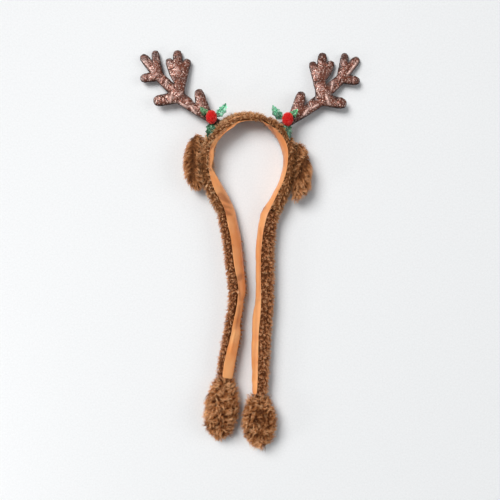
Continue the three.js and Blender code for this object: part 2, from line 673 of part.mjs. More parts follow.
headband.add(piece("strap_plush_left", sleevePlush(0, ARCH_START), "plush"));
headband.add(piece("strap_lining_left", sleeveLining(0, ARCH_START), "satin"));
headband.add(piece("strap_plush_right", sleevePlush(ARCH_END, LAST_STATION), "plush"));
headband.add(piece("strap_lining_right", sleeveLining(ARCH_END, LAST_STATION), "satin"));
headband.add(piece("paw_left", paw("left", LEFT_PAW_LENGTH, 0), "plush"));
headband.add(piece("paw_right", paw("right", RIGHT_PAW_LENGTH, 1), "plush"));

// The origin is on the surface, below the middle of the object
const bounds = new THREE.Box3().setFromObject(headband, true);
headband.position.set(-(bounds.min.x + bounds.max.x) / 2, -(bounds.min.y + bounds.max.y) / 2, -bounds.min.z);
const part = new THREE.Group();
part.add(headband);

export default part;
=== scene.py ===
"""Looks of the reindeer antler headband: curly plush, satin lining, glitter antlers, holly and berries."""

import math

import bmesh
import bpy
import numpy as np
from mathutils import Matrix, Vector, kdtree, noise
from mathutils.bvhtree import BVHTree


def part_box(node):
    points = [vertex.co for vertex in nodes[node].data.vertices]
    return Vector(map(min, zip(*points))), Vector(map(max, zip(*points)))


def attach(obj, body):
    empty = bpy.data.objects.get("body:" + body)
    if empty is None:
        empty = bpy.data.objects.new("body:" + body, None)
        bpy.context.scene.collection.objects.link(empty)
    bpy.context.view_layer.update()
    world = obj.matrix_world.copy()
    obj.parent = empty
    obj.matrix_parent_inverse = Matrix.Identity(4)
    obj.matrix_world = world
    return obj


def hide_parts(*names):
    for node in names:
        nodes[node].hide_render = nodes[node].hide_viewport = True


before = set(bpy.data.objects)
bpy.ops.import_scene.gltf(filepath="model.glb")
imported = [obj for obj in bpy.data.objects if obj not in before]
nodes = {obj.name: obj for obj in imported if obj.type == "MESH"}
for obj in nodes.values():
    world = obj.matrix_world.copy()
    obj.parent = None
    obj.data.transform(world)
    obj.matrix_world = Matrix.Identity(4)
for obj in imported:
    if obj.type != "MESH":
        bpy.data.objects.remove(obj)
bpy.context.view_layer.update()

MM = 0.001
SIDES = ("left", "right")
LOWEST = 0.3 * MM  # above the surface, for anything that lies on it
SAME_POINT = 0.01 * MM  # nearer than this, two vertices are one

# The photograph: 500 pixels across, 1.5 mm each on the surface, taken from straight above
PIXEL = 1.5 * MM
PHOTO_WIDTH = 500
LENS = 50.0
SENSOR = 36.0
CAMERA_HEIGHT = PHOTO_WIDTH * PIXEL * LENS / SENSOR
CAMERA_SHIFT = 0.3 * MM  # up the photograph, from the object's middle to the picture's

# The head arch, about whose middle the plush of the arch is combed down to both sides
ARCH_MIDDLE = Vector((-3.3, 131.4, 16.0)) * MM
ARCH_FOOT = 60 * MM  # height above which the nap goes round the arch, and below it down the straps


def linear(code):
    """A colour of the photograph, as #rrggbb, in linear light."""
    channels = [int(code[k : k + 2], 16) / 255 for k in (1, 3, 5)]
    return tuple(c / 12.92 if c <= 0.04045 else ((c + 0.055) / 1.055) ** 2.4 for c in channels) + (1.0,)


def lengths(vectors):
    return np.linalg.norm(vectors, axis=-1, keepdims=True)


def unit(vectors):
    return vectors / np.maximum(lengths(vectors), 1e-9)


# Meshes


def link(name, mesh, material):
    mesh.materials.clear()
    mesh.materials.append(material)
    piece = bpy.data.objects.new(name, mesh)
    bpy.context.scene.collection.objects.link(piece)
    return piece


def mesh_of_triangles(name, points, triangles, tones):
    """A mesh from arrays, with a tone from 0 to 1 at each point."""
    mesh = bpy.data.meshes.new(name)
    mesh.vertices.add(len(points))
    mesh.vertices.foreach_set("co", points.astype(np.float32).ravel())
    mesh.loops.add(triangles.size)
    mesh.loops.foreach_set("vertex_index", triangles.astype(np.int32).ravel())
    mesh.polygons.add(len(triangles))
    mesh.polygons.foreach_set("loop_start", np.arange(0, triangles.size, 3, dtype=np.int32))
    mesh.update(calc_edges=True)
    add_tones(mesh, tones)
    mesh.polygons.foreach_set("use_smooth", np.ones(len(triangles), bool))
    return mesh


def add_tones(mesh, tones, name="tone"):
    layer = mesh.attributes.new(name, "FLOAT", "POINT")
    layer.data.foreach_set("value", tones.astype(np.float32))


def arrays(mesh):
    """Points, unit normals and triangles of a mesh."""
    mesh.calc_loop_triangles()
    points = np.empty(len(mesh.vertices) * 3, np.float32)
    mesh.vertices.foreach_get("co", points)
    normals = np.empty(len(mesh.vertices) * 3, np.float32)
    mesh.vertices.foreach_get("normal", normals)
    triangles = np.empty(len(mesh.loop_triangles) * 3, np.int32)
    mesh.loop_triangles.foreach_get("vertices", triangles)
    points, normals = (flat.reshape(-1, 3).astype(float) for flat in (points, normals))
    return points, normals, triangles.reshape(-1, 3)


def set_points(mesh, points):
    mesh.vertices.foreach_set("co", points.astype(np.float32).ravel())
    mesh.update()


def applied(mesh, *modifiers):
    """The mesh with modifiers applied, each given as its type and settings."""
    carrier = bpy.data.objects.new("carrier", mesh)
    bpy.context.scene.collection.objects.link(carrier)
    for kind, settings in modifiers:
        modifier = carrier.modifiers.new(kind.lower(), kind)
        for key, value in settings.items():
            setattr(modifier, key, value)
    evaluated = carrier.evaluated_get(bpy.context.evaluated_depsgraph_get())
    result = bpy.data.meshes.new_from_object(evaluated)
    bpy.data.objects.remove(carrier)
    result.polygons.foreach_set("use_smooth", np.ones(len(result.polygons), bool))
    return result


def rounded(mesh, voxel, rounds):
    """The form of a solid as a fine mesh, with its facets and edges smoothed away."""
    remesh = ("REMESH", {"mode": "VOXEL", "voxel_size": voxel})
    smooth = ("SMOOTH", {"factor": 0.5, "iterations": rounds})
    return applied(mesh, remesh, smooth)


def tree_of(mesh):
    return BVHTree.FromPolygons([v.co for v in mesh.vertices], [p.vertices for p in mesh.polygons])


# Materials


class Nodes:
    """A node material with a Principled shader, and short calls for the nodes before it."""

    def __init__(self, name, roughness, **sockets):
        self.material = bpy.data.materials.new(name)
        self.material.use_nodes = True
        self.tree = self.material.node_tree
        self.shader = self.tree.nodes["Principled BSDF"]
        self.shader.inputs["Roughness"].default_value = roughness
        for socket, value in sockets.items():
            self.shader.inputs[socket.replace("_", " ")].default_value = value

    def add(self, kind, settings=None, **inputs):
        node = self.tree.nodes.new("ShaderNode" + kind)
        for key, value in (settings or {}).items():
            setattr(node, key, value)
        for key, value in inputs.items():
            self.feed(node, key.replace("_", " "), value)
        return node

    def feed(self, node, socket, value):
        """Sets or links an input, given by its name or as i and its number."""
        numbered = socket[0] == "i" and socket[1:].isdigit()
        target = node.inputs[int(socket[1:]) if numbered else socket]
        if isinstance(value, bpy.types.NodeSocket):
            self.tree.links.new(value, target)
        else:
            target.default_value = value

    def place(self):
        return self.add("TexCoord").outputs["Object"]

    def noise(self, size, detail=2.0):
        """Noise whose blotches measure about a size in metres."""
        return self.add("TexNoise", Vector=self.place(), Scale=1 / size, Detail=detail).outputs["Fac"]

    def ramp(self, factor, *stops):
        node = self.add("ValToRGB", Fac=factor)
        elements = node.color_ramp.elements
        while len(elements) < len(stops):
            elements.new(0.5)
        for element, (position, colour) in zip(elements, stops):
            element.position = position
            element.color = colour
        return node.outputs["Color"]

    def math(self, operation, first, second=0.0, clamp=False):
        node = self.add("Math", {"operation": operation, "use_clamp": clamp}, i0=first, i1=second)
        return node.outputs[0]

    def mix(self, factor, first, second):
        return self.add("MixRGB", Fac=factor, Color1=first, Color2=second).outputs["Color"]

    def attribute(self, name="tone"):
        return self.add("Attribute", {"attribute_name": name}).outputs["Fac"]

    def bump(self, height, distance, strength=1.0):
        return self.add("Bump", Height=height, Distance=distance, Strength=strength).outputs["Normal"]

    def surface(self, colour, normal=None):
        self.feed(self.shader, "Base Color", colour)
        if normal:
            self.feed(self.shader, "Normal", normal)
        return self.material


PLUSH_PATCH = 14 * MM  # size of the slow patches of lighter and darker pile
PATCH_CONTRAST = 0.3


def plush_material(name, dark, middle, light):
    """Curly pile: painted shade between the locks, lighter to the tips, with slow patches along the fabric.
    """
    m = Nodes(name, roughness=0.75, Sheen_Weight=0.2, Sheen_Tint=linear("#ffcb8c"), Specular_IOR_Level=0.2)
    patches = m.math("MULTIPLY_ADD", m.noise(PLUSH_PATCH), PATCH_CONTRAST)
    patches.node.inputs[2].default_value = -PATCH_CONTRAST / 2
    tone = m.math("ADD", m.attribute(), patches, clamp=True)
    colour = m.ramp(tone, (0.0, linear(dark)), (0.5, linear(middle)), (1.0, linear(light)))
    return m.surface(colour)


WEAVE_SCALE = 900.0
CREASE_SIZE = 9 * MM  # of the satin's soft puckers
SATIN_PATCH = 30 * MM  # and of its slow changes of colour
WEAVE_SHOWS = 0.12
SATIN_BUMP = 0.8 * MM


def satin_material():
    """Smooth orange lining with a fine weave and soft creases; the tone attribute paints shade and light on
    it.
    """
    m = Nodes("satin", roughness=0.42, Sheen_Weight=0.08, Sheen_Roughness=0.4, Specular_IOR_Level=0.4)
    weave = m.add("TexWave", {"wave_type": "BANDS"}, Vector=m.place(), Scale=WEAVE_SCALE, Distortion=1.5)
    weave = weave.outputs["Fac"]
    creases = m.noise(CREASE_SIZE, 3.0)
    colour = m.ramp(m.noise(SATIN_PATCH), (0.35, linear("#f79a55")), (0.65, linear("#ffb575")))
    # painted shade and light: a low tone mixes in dark orange
    colour = m.mix(m.attribute(), linear("#8f3a08"), colour)
    colour = m.mix(WEAVE_SHOWS, colour, m.ramp(weave, (0.0, linear("#b8642c")), (1.0, linear("#ffc58c"))))
    height = m.math("ADD", m.math("MULTIPLY", weave, 0.03), m.math("MULTIPLY", creases, 0.6))
    return m.surface(colour, m.bump(height, SATIN_BUMP, 0.5))


def glitter_material(name, ground, flake, spark, rim, flake_size, jitter):
    """Flakes that each face a little their own way on a glossy ground.

    The tone attribute is low at an antler's dark sewn edge and where shade is painted, and a second attribute
    is high where a highlight is painted on a ridge.
    """
    m = Nodes(
        name, roughness=0.34, Metallic=0.4, Specular_IOR_Level=0.6, Coat_Weight=0.4, Coat_Roughness=0.2
    )
    cells = m.add("TexVoronoi", {"feature": "F1"}, Vector=m.place(), Scale=1 / flake_size)
    chance = m.add("SeparateColor", Color=cells.outputs["Color"])
    colour = m.ramp(
        chance.outputs[0],
        (0.0, linear(ground)),
        (0.5, linear(flake)),
        (0.84, linear(flake)),
        (0.92, linear(spark)),
    )
    colour = m.mix(m.attribute(), linear(rim), colour)
    # painted highlight on the antlers' ridges
    colour = m.mix(m.attribute("painted_highlight"), colour, linear("#f3c8ba"))
    tilt = m.add("VectorMath", {"operation": "SUBTRACT"}, i0=cells.outputs["Color"], i1=(0.5, 0.5, 0.5))
    tilt = m.add("VectorMath", {"operation": "SCALE"}, i0=tilt.outputs[0], Scale=jitter)
    facing = m.add("NewGeometry").outputs["Normal"]
    facing = m.add("VectorMath", {"operation": "ADD"}, i0=tilt.outputs[0], i1=facing)
    facing = m.add("VectorMath", {"operation": "NORMALIZE"}, i0=facing.outputs[0])
    return m.surface(colour, facing.outputs[0])


def floor_material():
    m = Nodes("pale_surface", roughness=0.9, Specular_IOR_Level=0.1)
    grain = m.noise(2.5 * MM, 4.0)
    colour = m.ramp(grain, (0.3, linear("#f1f1f1")), (0.7, linear("#f8f8f8")))
    return m.surface(colour, m.bump(grain, 0.25 * MM, 0.25))


# Places on the photograph


def seen(points):
    """The pixels of the photograph, column and row, at which points show."""
    pixel = PIXEL * (CAMERA_HEIGHT - points[:, 2]) / CAMERA_HEIGHT
    half = PHOTO_WIDTH / 2
    return np.stack([half + points[:, 0] / pixel, half - (points[:, 1] - CAMERA_SHIFT) / pixel], 1)


def off_line(points, start, end):
    """How far off a line of the photograph each point shows, in which direction, and how far along it."""
    start, end = np.array(start), np.array(end)
    spots = seen(points)
    along = end - start
    share = np.clip(((spots - start) @ along) / max(along @ along, 1e-6), 0, 1)
    offset = (spots - (start + share[:, None] * along)) * [1, -1] * PIXEL
    away = lengths(offset)
    return away.ravel(), offset / np.maximum(away, 1e-6), share


def crease_depth(points, start, end, half, deep, opens=False):
    """How deep a crease is at each point. It fades at both ends, or opens at its start and narrows."""
    away, _, share = off_line(points, start, end)
    if opens:
        fade = (1 - share) ** 0.6
        away = away / (half * MM * (1 - 0.6 * share))
    else:
        fade = np.sin(math.pi * (0.12 + 0.76 * share)) ** 0.5
        away = away / (half * MM)
    return deep * fade * np.exp(-(away**2))


def nudged(points, rows):
    """Points moved across and up the photograph, in millimetres, near lines of it."""
    for row in rows:
        away, _, _ = off_line(points, row["start"], row["end"])
        share = np.exp(-((away / (row["half"] * MM)) ** 2))
        points = points + share[:, None] * np.array([*row["move"], 0]) * MM
    return points


def near_lines(points, rows, half):
    """A share that is 1 on the nearest of some lines of the photograph and dies out over a half width."""
    away = np.stack([off_line(points, **row)[0] for row in rows]).min(0)
    return np.exp(-((away / half) ** 2))


# Pile: locks of curly strands

LEAST_SPACING = 0.78  # of two locks, in shares of their usual spacing
TUFT_SHARE = 0.14  # of the locks, which reach further than the others
LEAST_LOCK = 0.1  # share of its length below which a lock is left out
CLUMP_SHADE = 0.28  # painted shade on the locks that lie between the clumps
LOCK_VARIES = 0.25  # its length, as a share either way
STRAND_VARIES = 0.2  # its length and width
LOCK_SCATTER = 0.42  # of a lock's strands about its middle, in shares of the locks' spacing
WAVER = 0.12  # how far a strand's tip strays, in shares of its length
RIBBON_STRAY = 0.8  # how far a strand's flat side is turned from the surface's
# the feet are dark with the painted shade between the locks
FOOT_TONE = 0.12  # at a strand's foot
TIP_LIGHT = 0.76  # how much lighter its tip is
STRAND_CONTRAST = 0.07
BACKING_TONE = 0.3
OUTWARD_NAP = 0.35  # lean of the sleeve's nap to the side that the surface faces


def varied(rng, spread, *size):
    """Random factors about 1, up to a spread either way."""
    return 1 - spread + 2 * spread * rng.random(size)


def spots_on(skin, spacing, rng):
    """Places about a spacing apart on a mesh, with the unit normals there."""
    points, normals, triangles = arrays(skin)
    corners = points[triangles]
    area = lengths(np.cross(corners[:, 1] - corners[:, 0], corners[:, 2] - corners[:, 0])).ravel() / 2
    crowd = int(4 * area.sum() / spacing**2)
    pick = rng.choice(len(area), crowd, p=area / area.sum())
    first = np.sqrt(rng.random((crowd, 1)))
    second = rng.random((crowd, 1))
    shares = np.stack([1 - first, first * (1 - second), first * second], 1)
    places = (corners[pick] * shares).sum(1)
    facing = unit((normals[triangles[pick]] * shares).sum(1))
    crowded = kdtree.KDTree(crowd)
    for k, place in enumerate(places):
        crowded.insert(place, k)
    crowded.balance()
    kept = np.ones(crowd, bool)
    for k in range(crowd):
        if kept[k]:
            for _, other, _ in crowded.find_range(places[k], LEAST_SPACING * spacing):
                kept[other] = kept[other] and other <= k
    return places[kept], facing[kept]


def pile(name, skin, material, combing, look, seed, tint=None, trim=None):
    """A mesh of locks: strands that rise together, lean with the nap, curl, and draw in to a tip.

    combing gives the nap's direction at each place, tint a change of tone there, and trim the share of the
    length that the lock keeps. Some locks are tufts that reach further, and neighbours may clump together.
    """
    rng = np.random.default_rng(seed)
    places, facing = spots_on(skin, look["spacing"], rng)
    share = trim(places, facing) if trim else np.ones(len(places))
    kept = share > LEAST_LOCK
    places, facing, share = places[kept], facing[kept], share[kept]
    locks = len(places)
    way = combing(places, facing) + look["stray"] * rng.normal(size=(locks, 3))
    way = unit(way - facing * (way * facing).sum(1, keepdims=True))
    aside = np.cross(facing, way)
    tone = look["contrast"] * rng.normal(size=locks) + (tint(places, facing) if tint else 0)
    reach = look["length"] * share * varied(rng, LOCK_VARIES, locks)
    reach = reach * np.where(rng.random(locks) < TUFT_SHARE, look["tuft"], 1)
    start = 2 * math.pi * rng.random(locks)
    turns = look["turns"] * np.where(rng.random(locks) < 0.5, -1, 1)

    pull = np.zeros((locks, 3))
    if "clump" in look:
        centres, _ = spots_on(skin, look["clump"], rng)
        clumps = kdtree.KDTree(len(centres))
        for k, centre in enumerate(centres):
            clumps.insert(centre, k)
        clumps.balance()
        pull = look["clumping"] * (np.array([clumps.find(place)[0] for place in places]) - places)
        pull = pull - facing * (pull * facing).sum(1, keepdims=True)
        # painted shade on the locks that lie between the clumps
        tone = tone - CLUMP_SHADE * (lengths(pull).ravel() / (look["clumping"] * look["clump"]) - 0.35)

    each = np.repeat(np.arange(locks), look["strands"])
    count = len(each)
    steps = look["steps"]
    spread = look["spacing"] * LOCK_SCATTER * rng.normal(size=(count, 3))
    spread = spread - facing[each] * (spread * facing[each]).sum(1, keepdims=True)
    run = np.linspace(0, 1, steps + 1)[None, :, None]
    rise = (reach[each] * varied(rng, STRAND_VARIES, count))[:, None, None]
    lean = look["lean"]
    line = (places[each] + spread)[:, None] - look["gather"] * run * spread[:, None]
    line = line + rise * (run - 0.5 * lean * run**2) * facing[each][:, None]
    line = line + rise * lean * run**1.5 * way[each][:, None] + run**1.3 * pull[each][:, None]
    angle = start[each][:, None, None] + 2 * math.pi * turns[each][:, None, None] * run
    swing = look["curl"] * np.minimum(1, 2 * run)
    line = line + swing * (np.cos(angle) * way[each][:, None] + np.sin(angle) * aside[each][:, None])
    line = line + WAVER * rise * run * rng.normal(size=(count, 1, 3))
    line[..., 2] = np.maximum(line[..., 2], LOWEST)

    towards = unit(facing[each] + RIBBON_STRAY * rng.normal(size=(count, 3)))
    across = unit(np.cross(unit(np.gradient(line, axis=1)), towards[:, None]))
    taper = 0.5 * look["width"] * varied(rng, STRAND_VARIES, count, 1, 1) * (1 - run**2) ** 0.5
    left = (line + across * taper)[:, :-1]
    right = (line - across * taper)[:, :-1]
    points = np.concatenate([left, right, line[:, -1:]], 1)
    size = 2 * steps + 1
    faces = [(steps - 1, 2 * steps - 1, 2 * steps)]
    for k in range(steps - 1):
        faces += [(k, steps + k, steps + k + 1), (k, steps + k + 1, k + 1)]
    triangles = np.array(faces)[None] + (np.arange(count) * size)[:, None, None]
    height = np.concatenate([run[:, :-1], run[:, :-1], run[:, -1:]], 1)[..., 0]
    # painted shade at the strands' feet, lighter towards the tips
    tones = FOOT_TONE + TIP_LIGHT * height**1.1
    tones = tones + (tone[each] + STRAND_CONTRAST * rng.normal(size=count))[:, None]
    tones = np.clip(tones, 0, 1).ravel()
    mesh = mesh_of_triangles(name, points.reshape(-1, 3), triangles.reshape(-1, 3), tones)
    return link(name, mesh, material)


def down_the_straps(places, facing):
    """The nap's direction: round the arch from its top to both sides, then down towards the paws."""
    from_middle = places - np.array(ARCH_MIDDLE)
    side = np.sign(from_middle[:, 0])
    round_arch = unit(np.stack([from_middle[:, 1] * side, -from_middle[:, 0] * side, 0 * side], 1))
    straight = np.array([0.0, -1.0, 0.0])
    return np.where(places[:, 1:2] > ARCH_FOOT, round_arch, straight) + OUTWARD_NAP * facing * [1, 1, 0]


def dress(piece, *replaced, slot):
    """Tells the frame a piece's body and the solids in whose place it shows; the slot is not used."""
    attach(piece, "root")
    if replaced:
        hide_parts(*replaced)


# Sleeve: plush backing and pile of the arch and straps

SLEEVE_PILE = {
    "spacing": 2.4 * MM,
    "strands": 8,
    "steps": 3,
    "length": 4.1 * MM,
    "width": 0.42 * MM,
    "lean": 0.5,
    "curl": 0.55 * MM,
    "turns": 0.8,
    "gather": 0.85,
    "stray": 0.7,
    "contrast": 0.14,
    "tuft": 1.3,
    "clump": 5.5 * MM,
    "clumping": 0.75,
}
# Where the sleeve and its lining lie beside the solids: lines of the photograph, half width, and move across
# and up in millimetres
SLEEVE_NUDGES = [
    {"start": (238, 124.5), "end": (262, 124.5), "half": 5.5, "move": (0, 3.2)},
    {"start": (248, 362), "end": (249, 388), "half": 5.0, "move": (-3.0, 0)},
    {"start": (246, 300), "end": (242, 324), "half": 8.5, "move": (-3.0, 0)},
    {"start": (253.5, 310), "end": (252, 380), "half": 4.5, "move": (-1.6, 0)},
    {"start": (263, 205), "end": (261.5, 212), "half": 8.0, "move": (-2.6, 0)},
    {"start": (213, 203), "end": (221, 240), "half": 5.0, "move": (-1.8, 0)},
]
SLEEVE_INSET = 1.3 * MM  # from the CAD solid, whose tufts reach further out, in to the backing
LINING_MARGIN = (0.2 * MM, 2.2 * MM)  # from the lining: where the pile starts, and where it has its length
LEAF_MARGIN = 1.5 * MM  # from a leaf that lies on the plush, where its pile is pressed flat
LIGHT_SIDE = (-0.85, 0.53, 0.0)  # up and left on the photograph
UNDER_LINING = 8 * MM  # reach of the lining's lower edge, where the plush beneath it is bare
LINING_OVER = 5 * MM  # above plush that has the lining on it
SLEEVE_VOXEL = 2.2 * MM

# Lighter and darker plush: painted light on the arch's light side, lighter on the straps, painted rim light
# on locks that stand out at the edges and more at the right ones, and painted shade in the gaps where the
# ears meet the arch
ARCH_PLUSH_PAINTED_LIGHT = 0.3
STRAP_LIGHT = 0.06
EDGE_PAINTED_LIGHT = 0.16
RIGHT_EDGE_PAINTED_LIGHT = 0.14
GAP_PAINTED_SHADE = 0.75
GAP_PAINTED_SHADE_HALF = 2.3 * MM
EDGE_LENGTH = 0.4  # how much longer the locks are that stand out at the edges
EDGE_FACING = 0.1  # how far up a surface faces there
EDGE_SPREAD = 0.06


def at_edges(facing):
    """A share that is 1 where a surface faces sideways, so that its locks stand out at the edge."""
    return np.exp(-((facing[:, 2] - EDGE_FACING) ** 2) / EDGE_SPREAD)


def on_light_side(points):
    """How far round to its light side a point of the arch lies, as a share; nothing on the straps."""
    way = unit((points - np.array(ARCH_MIDDLE)) * [1, 1, 0])
    return np.clip((way * LIGHT_SIDE).sum(1), 0, 1) * (points[:, 1] > ARCH_FOOT)


def sunk(node, voxel, rounds, inset):
    """The smoothed form of a CAD solid, drawn in by an inset to leave room for its pile."""
    mesh = rounded(nodes[node].data.copy(), voxel, rounds)
    points, normals, _ = arrays(mesh)
    set_points(mesh, points - normals * inset)
    add_tones(mesh, np.full(len(points), BACKING_TONE))
    return mesh


# Where the ears are folded against the arch, with shade painted in the gap between them, in pixels of the
# photograph
EAR_GAP_LINES = [{"start": (203.5, 153), "end": (204.5, 184)}, {"start": (295, 149), "end": (290.5, 186)}]


def painted_gap_shade(places, facing):
    """Painted shade: how much darker the plush is in the gap where an ear lies against the arch."""
    return GAP_PAINTED_SHADE * near_lines(places, EAR_GAP_LINES, GAP_PAINTED_SHADE_HALF) * (facing[:, 2] > 0.1)


def plush_sleeve(node, satin_tree, seed, plush, backing):
    """Plush backing and pile of the arch or a strap, bare under the lining and flat under the leaves."""
    leaves = [tree_of(nodes[f"holly_leaf_lower_{side}"].data) for side in SIDES]

    def from_satin(places):
        spots = np.array([satin_tree.find_nearest(Vector(place))[0] for place in places])
        return lengths(places - spots), unit(places - spots)

    def covered(place, way):
        return satin_tree.ray_cast(Vector(place), Vector(way), LINING_OVER)[0] is not None

    def trim(places, facing):
        near, far = LINING_MARGIN
        away = from_satin(places)[0].ravel()
        under = np.array([covered(place, way) for place, way in zip(places, facing)])
        low = (facing[:, 2] < 0.25) & (away < UNDER_LINING)
        leafy = [any(tree.find_nearest(Vector(p), LEAF_MARGIN)[0] for tree in leaves) for p in places]
        edge = 1 + EDGE_LENGTH * at_edges(facing)
        bare = low | under | np.array(leafy)
        return np.where(bare, 0, edge * np.clip((away - near) / (far - near), 0, 1))

    def combing(places, facing):
        away, way = from_satin(places)
        return down_the_straps(places, facing) + way * np.exp(-away / LINING_MARGIN[1])

    def tint(places, facing):
        """Painted light: lightest up the arch's left side, and light on the tips that stand out at the edges.
        """
        towards = ARCH_PLUSH_PAINTED_LIGHT * on_light_side(places)
        # painted rim light on the tips at the edges, more at the right ones
        rim = EDGE_PAINTED_LIGHT + RIGHT_EDGE_PAINTED_LIGHT * np.clip(facing[:, 0], 0, 1)
        # painted shade in the gaps where the ears lie against the arch
        strap = STRAP_LIGHT * (places[:, 1] < ARCH_FOOT) - painted_gap_shade(places, facing)
        return strap + towards * (facing[:, 2] > 0) + rim * at_edges(facing)

    skin = sunk(node, SLEEVE_VOXEL, rounds=6, inset=SLEEVE_INSET)
    set_points(skin, nudged(arrays(skin)[0], SLEEVE_NUDGES))
    base = link(f"{node}_backing", skin, backing)
    dress(base, node, slot="plush")
    fur = pile(f"{node}_pile", skin, plush, combing, SLEEVE_PILE, seed, tint=tint, trim=trim)
    dress(fur, slot="plush")


# Satin lining: one strip from paw to paw

LININGS = ("strap_lining_left", "arch_lining", "strap_lining_right")

# Creases, and ridges where deep is below nothing: start and end in pixels of the photograph, half width and
# depth in millimetres, and whether the crease opens at its start
CREASES = [
    {"start": (209.8, 150), "end": (209.2, 167), "half": 1.4, "deep": 1.2},
    {"start": (211.8, 169), "end": (215.5, 175), "half": 1.4, "deep": -1.2},
    {"start": (216, 177), "end": (220, 186), "half": 1.4, "deep": -1.2},
    {"start": (213, 146.5), "end": (208, 151.5), "half": 1.5, "deep": 1.4},
    {"start": (208, 168), "end": (213, 171), "half": 1.5, "deep": 1.2},
    {"start": (225, 131), "end": (213, 146), "half": 1.6, "deep": 0.9},
    {"start": (258, 121.5), "end": (273, 129), "half": 1.2, "deep": 0.9},
    {"start": (270, 125.5), "end": (281, 148), "half": 1.6, "deep": 1.3},
    {"start": (283, 152), "end": (284, 166), "half": 1.8, "deep": 0.9},
    {"start": (220.5, 196), "end": (231.5, 204), "half": 4.4, "deep": 2.2, "opens": True},
    {"start": (223.5, 206), "end": (233, 208.5), "half": 2.8, "deep": 1.4, "opens": True},
    {"start": (224.5, 212), "end": (233, 215.5), "half": 4.0, "deep": 2.0, "opens": True},
    {"start": (234.5, 199), "end": (236, 216), "half": 3.0, "deep": -1.0},
    {"start": (227.8, 222), "end": (237.5, 284), "half": 1.2, "deep": -0.7},
    {"start": (242, 275.5), "end": (237.5, 280), "half": 4.2, "deep": 1.6},
    {"start": (238.8, 284), "end": (240.2, 300), "half": 1.8, "deep": 0.9},
    {"start": (240, 306), "end": (236, 330), "half": 2.0, "deep": 0.9},
    {"start": (235.5, 330), "end": (230.5, 352), "half": 2.2, "deep": -1.0},
    {"start": (263, 207), "end": (258, 214), "half": 4.0, "deep": 1.6, "opens": True},
    {"start": (260.5, 228), "end": (259.5, 300), "half": 2.0, "deep": 0.6},
    {"start": (257, 300), "end": (254, 380), "half": 2.2, "deep": 0.5},
]
TURNED_UP = 0.55  # share of its depth that the left strap's lining loses as it turns to face up
TURN_START = 20 * MM  # up from the frame's middle, where it starts to turn
TURN_RUN = 120 * MM  # down from there, over which it turns
TURN_SIDE = -3 * MM  # across, to the right of which the right strap lies
CREASE_SINK = 0.2  # share of a crease's depth by which the satin, which has the plush under it, is sunk
CREASE_SHADE = 0.5  # painted shade on the satin for each millimetre of a crease's depth
SATIN_TONE = 0.8  # of the lining where it has neither painted light nor painted crease shade
SATIN_DARKEST = 0.3
LINING_BRIGHTENS = 200 * MM  # down the straps from the frame's middle, over which painted light on the lining grows
STRAP_LINING_PAINTED_LIGHT = 0.16  # how much painted light
ARCH_LINING_PAINTED_LIGHT = 0.2  # painted light on the lining on the arch's light side
PUCKER = 0.45  # height of the lining's fine unevenness, in millimetres
SWELL = 0.8  # and of its slow unevenness
SWELL_SIZE = 34 * MM
SEAM_GAP = 0.7 * MM  # the lining solids lie nearer together than this where they are sewn

# Round the arch, by degrees from its foot past its right side: how far the lining stands in from its solid,
# in millimetres, and how far its lower part is rolled up, as a share
REVEAL = [
    {"angle": 0, "inward": 0, "roll": 0},
    {"angle": 100, "inward": 0, "roll": 0},
    {"angle": 150, "inward": 1.6, "roll": 0.4},
    {"angle": 180, "inward": 2.6, "roll": 0.7},
    {"angle": 205, "inward": 3.6, "roll": 0.85},
    {"angle": 235, "inward": 4.2, "roll": 0.85},
    {"angle": 249, "inward": 1.2, "roll": 0.8},
    {"angle": 265, "inward": 2.4, "roll": 0.85},
    {"angle": 281, "inward": -1.0, "roll": 0.8},
    {"angle": 305, "inward": 2.2, "roll": 0.5},
    {"angle": 322, "inward": 2.4, "roll": 0.2},
    {"angle": 345, "inward": 0, "roll": 0},
    {"angle": 360, "inward": 0, "roll": 0},
]
REVEAL_START = 45 * MM  # up from the frame's middle, where the moves begin
REVEAL_RUN = 15 * MM  # over which they grow
SECTOR = 3  # degrees over which the lining's outer edge is sought
LINING_GIVE = 4 * MM  # from the outer edge, which stays, in to where all of the lining moves


def revealed(points):
    """The lining's points moved so that it shows past the plush of the arch."""
    offset = points - np.array(ARCH_MIDDLE)
    offset[:, 2] = 0
    angle = np.degrees(np.arctan2(offset[:, 0], -offset[:, 1])) % 360
    radius = lengths(offset).ravel()
    sector = (angle / SECTOR).astype(int)
    outer = np.array([radius[sector == k].max(initial=0) for k in range(int(360 / SECTOR))])
    inner = np.clip((outer[sector] - radius) / LINING_GIVE, 0, 1)
    rows = [row["angle"] for row in REVEAL]
    inward = np.interp(angle, rows, [row["inward"] for row in REVEAL]) * MM * inner
    roll = np.interp(angle, rows, [row["roll"] for row in REVEAL])
    near = np.clip((points[:, 1] - REVEAL_START) / REVEAL_RUN, 0, 1)
    top = points[:, 2].max()
    moved = points - unit(offset) * (inward * near)[:, None]
    moved[:, 2] = top - (top - points[:, 2]) * (1 - roll * near)
    return moved


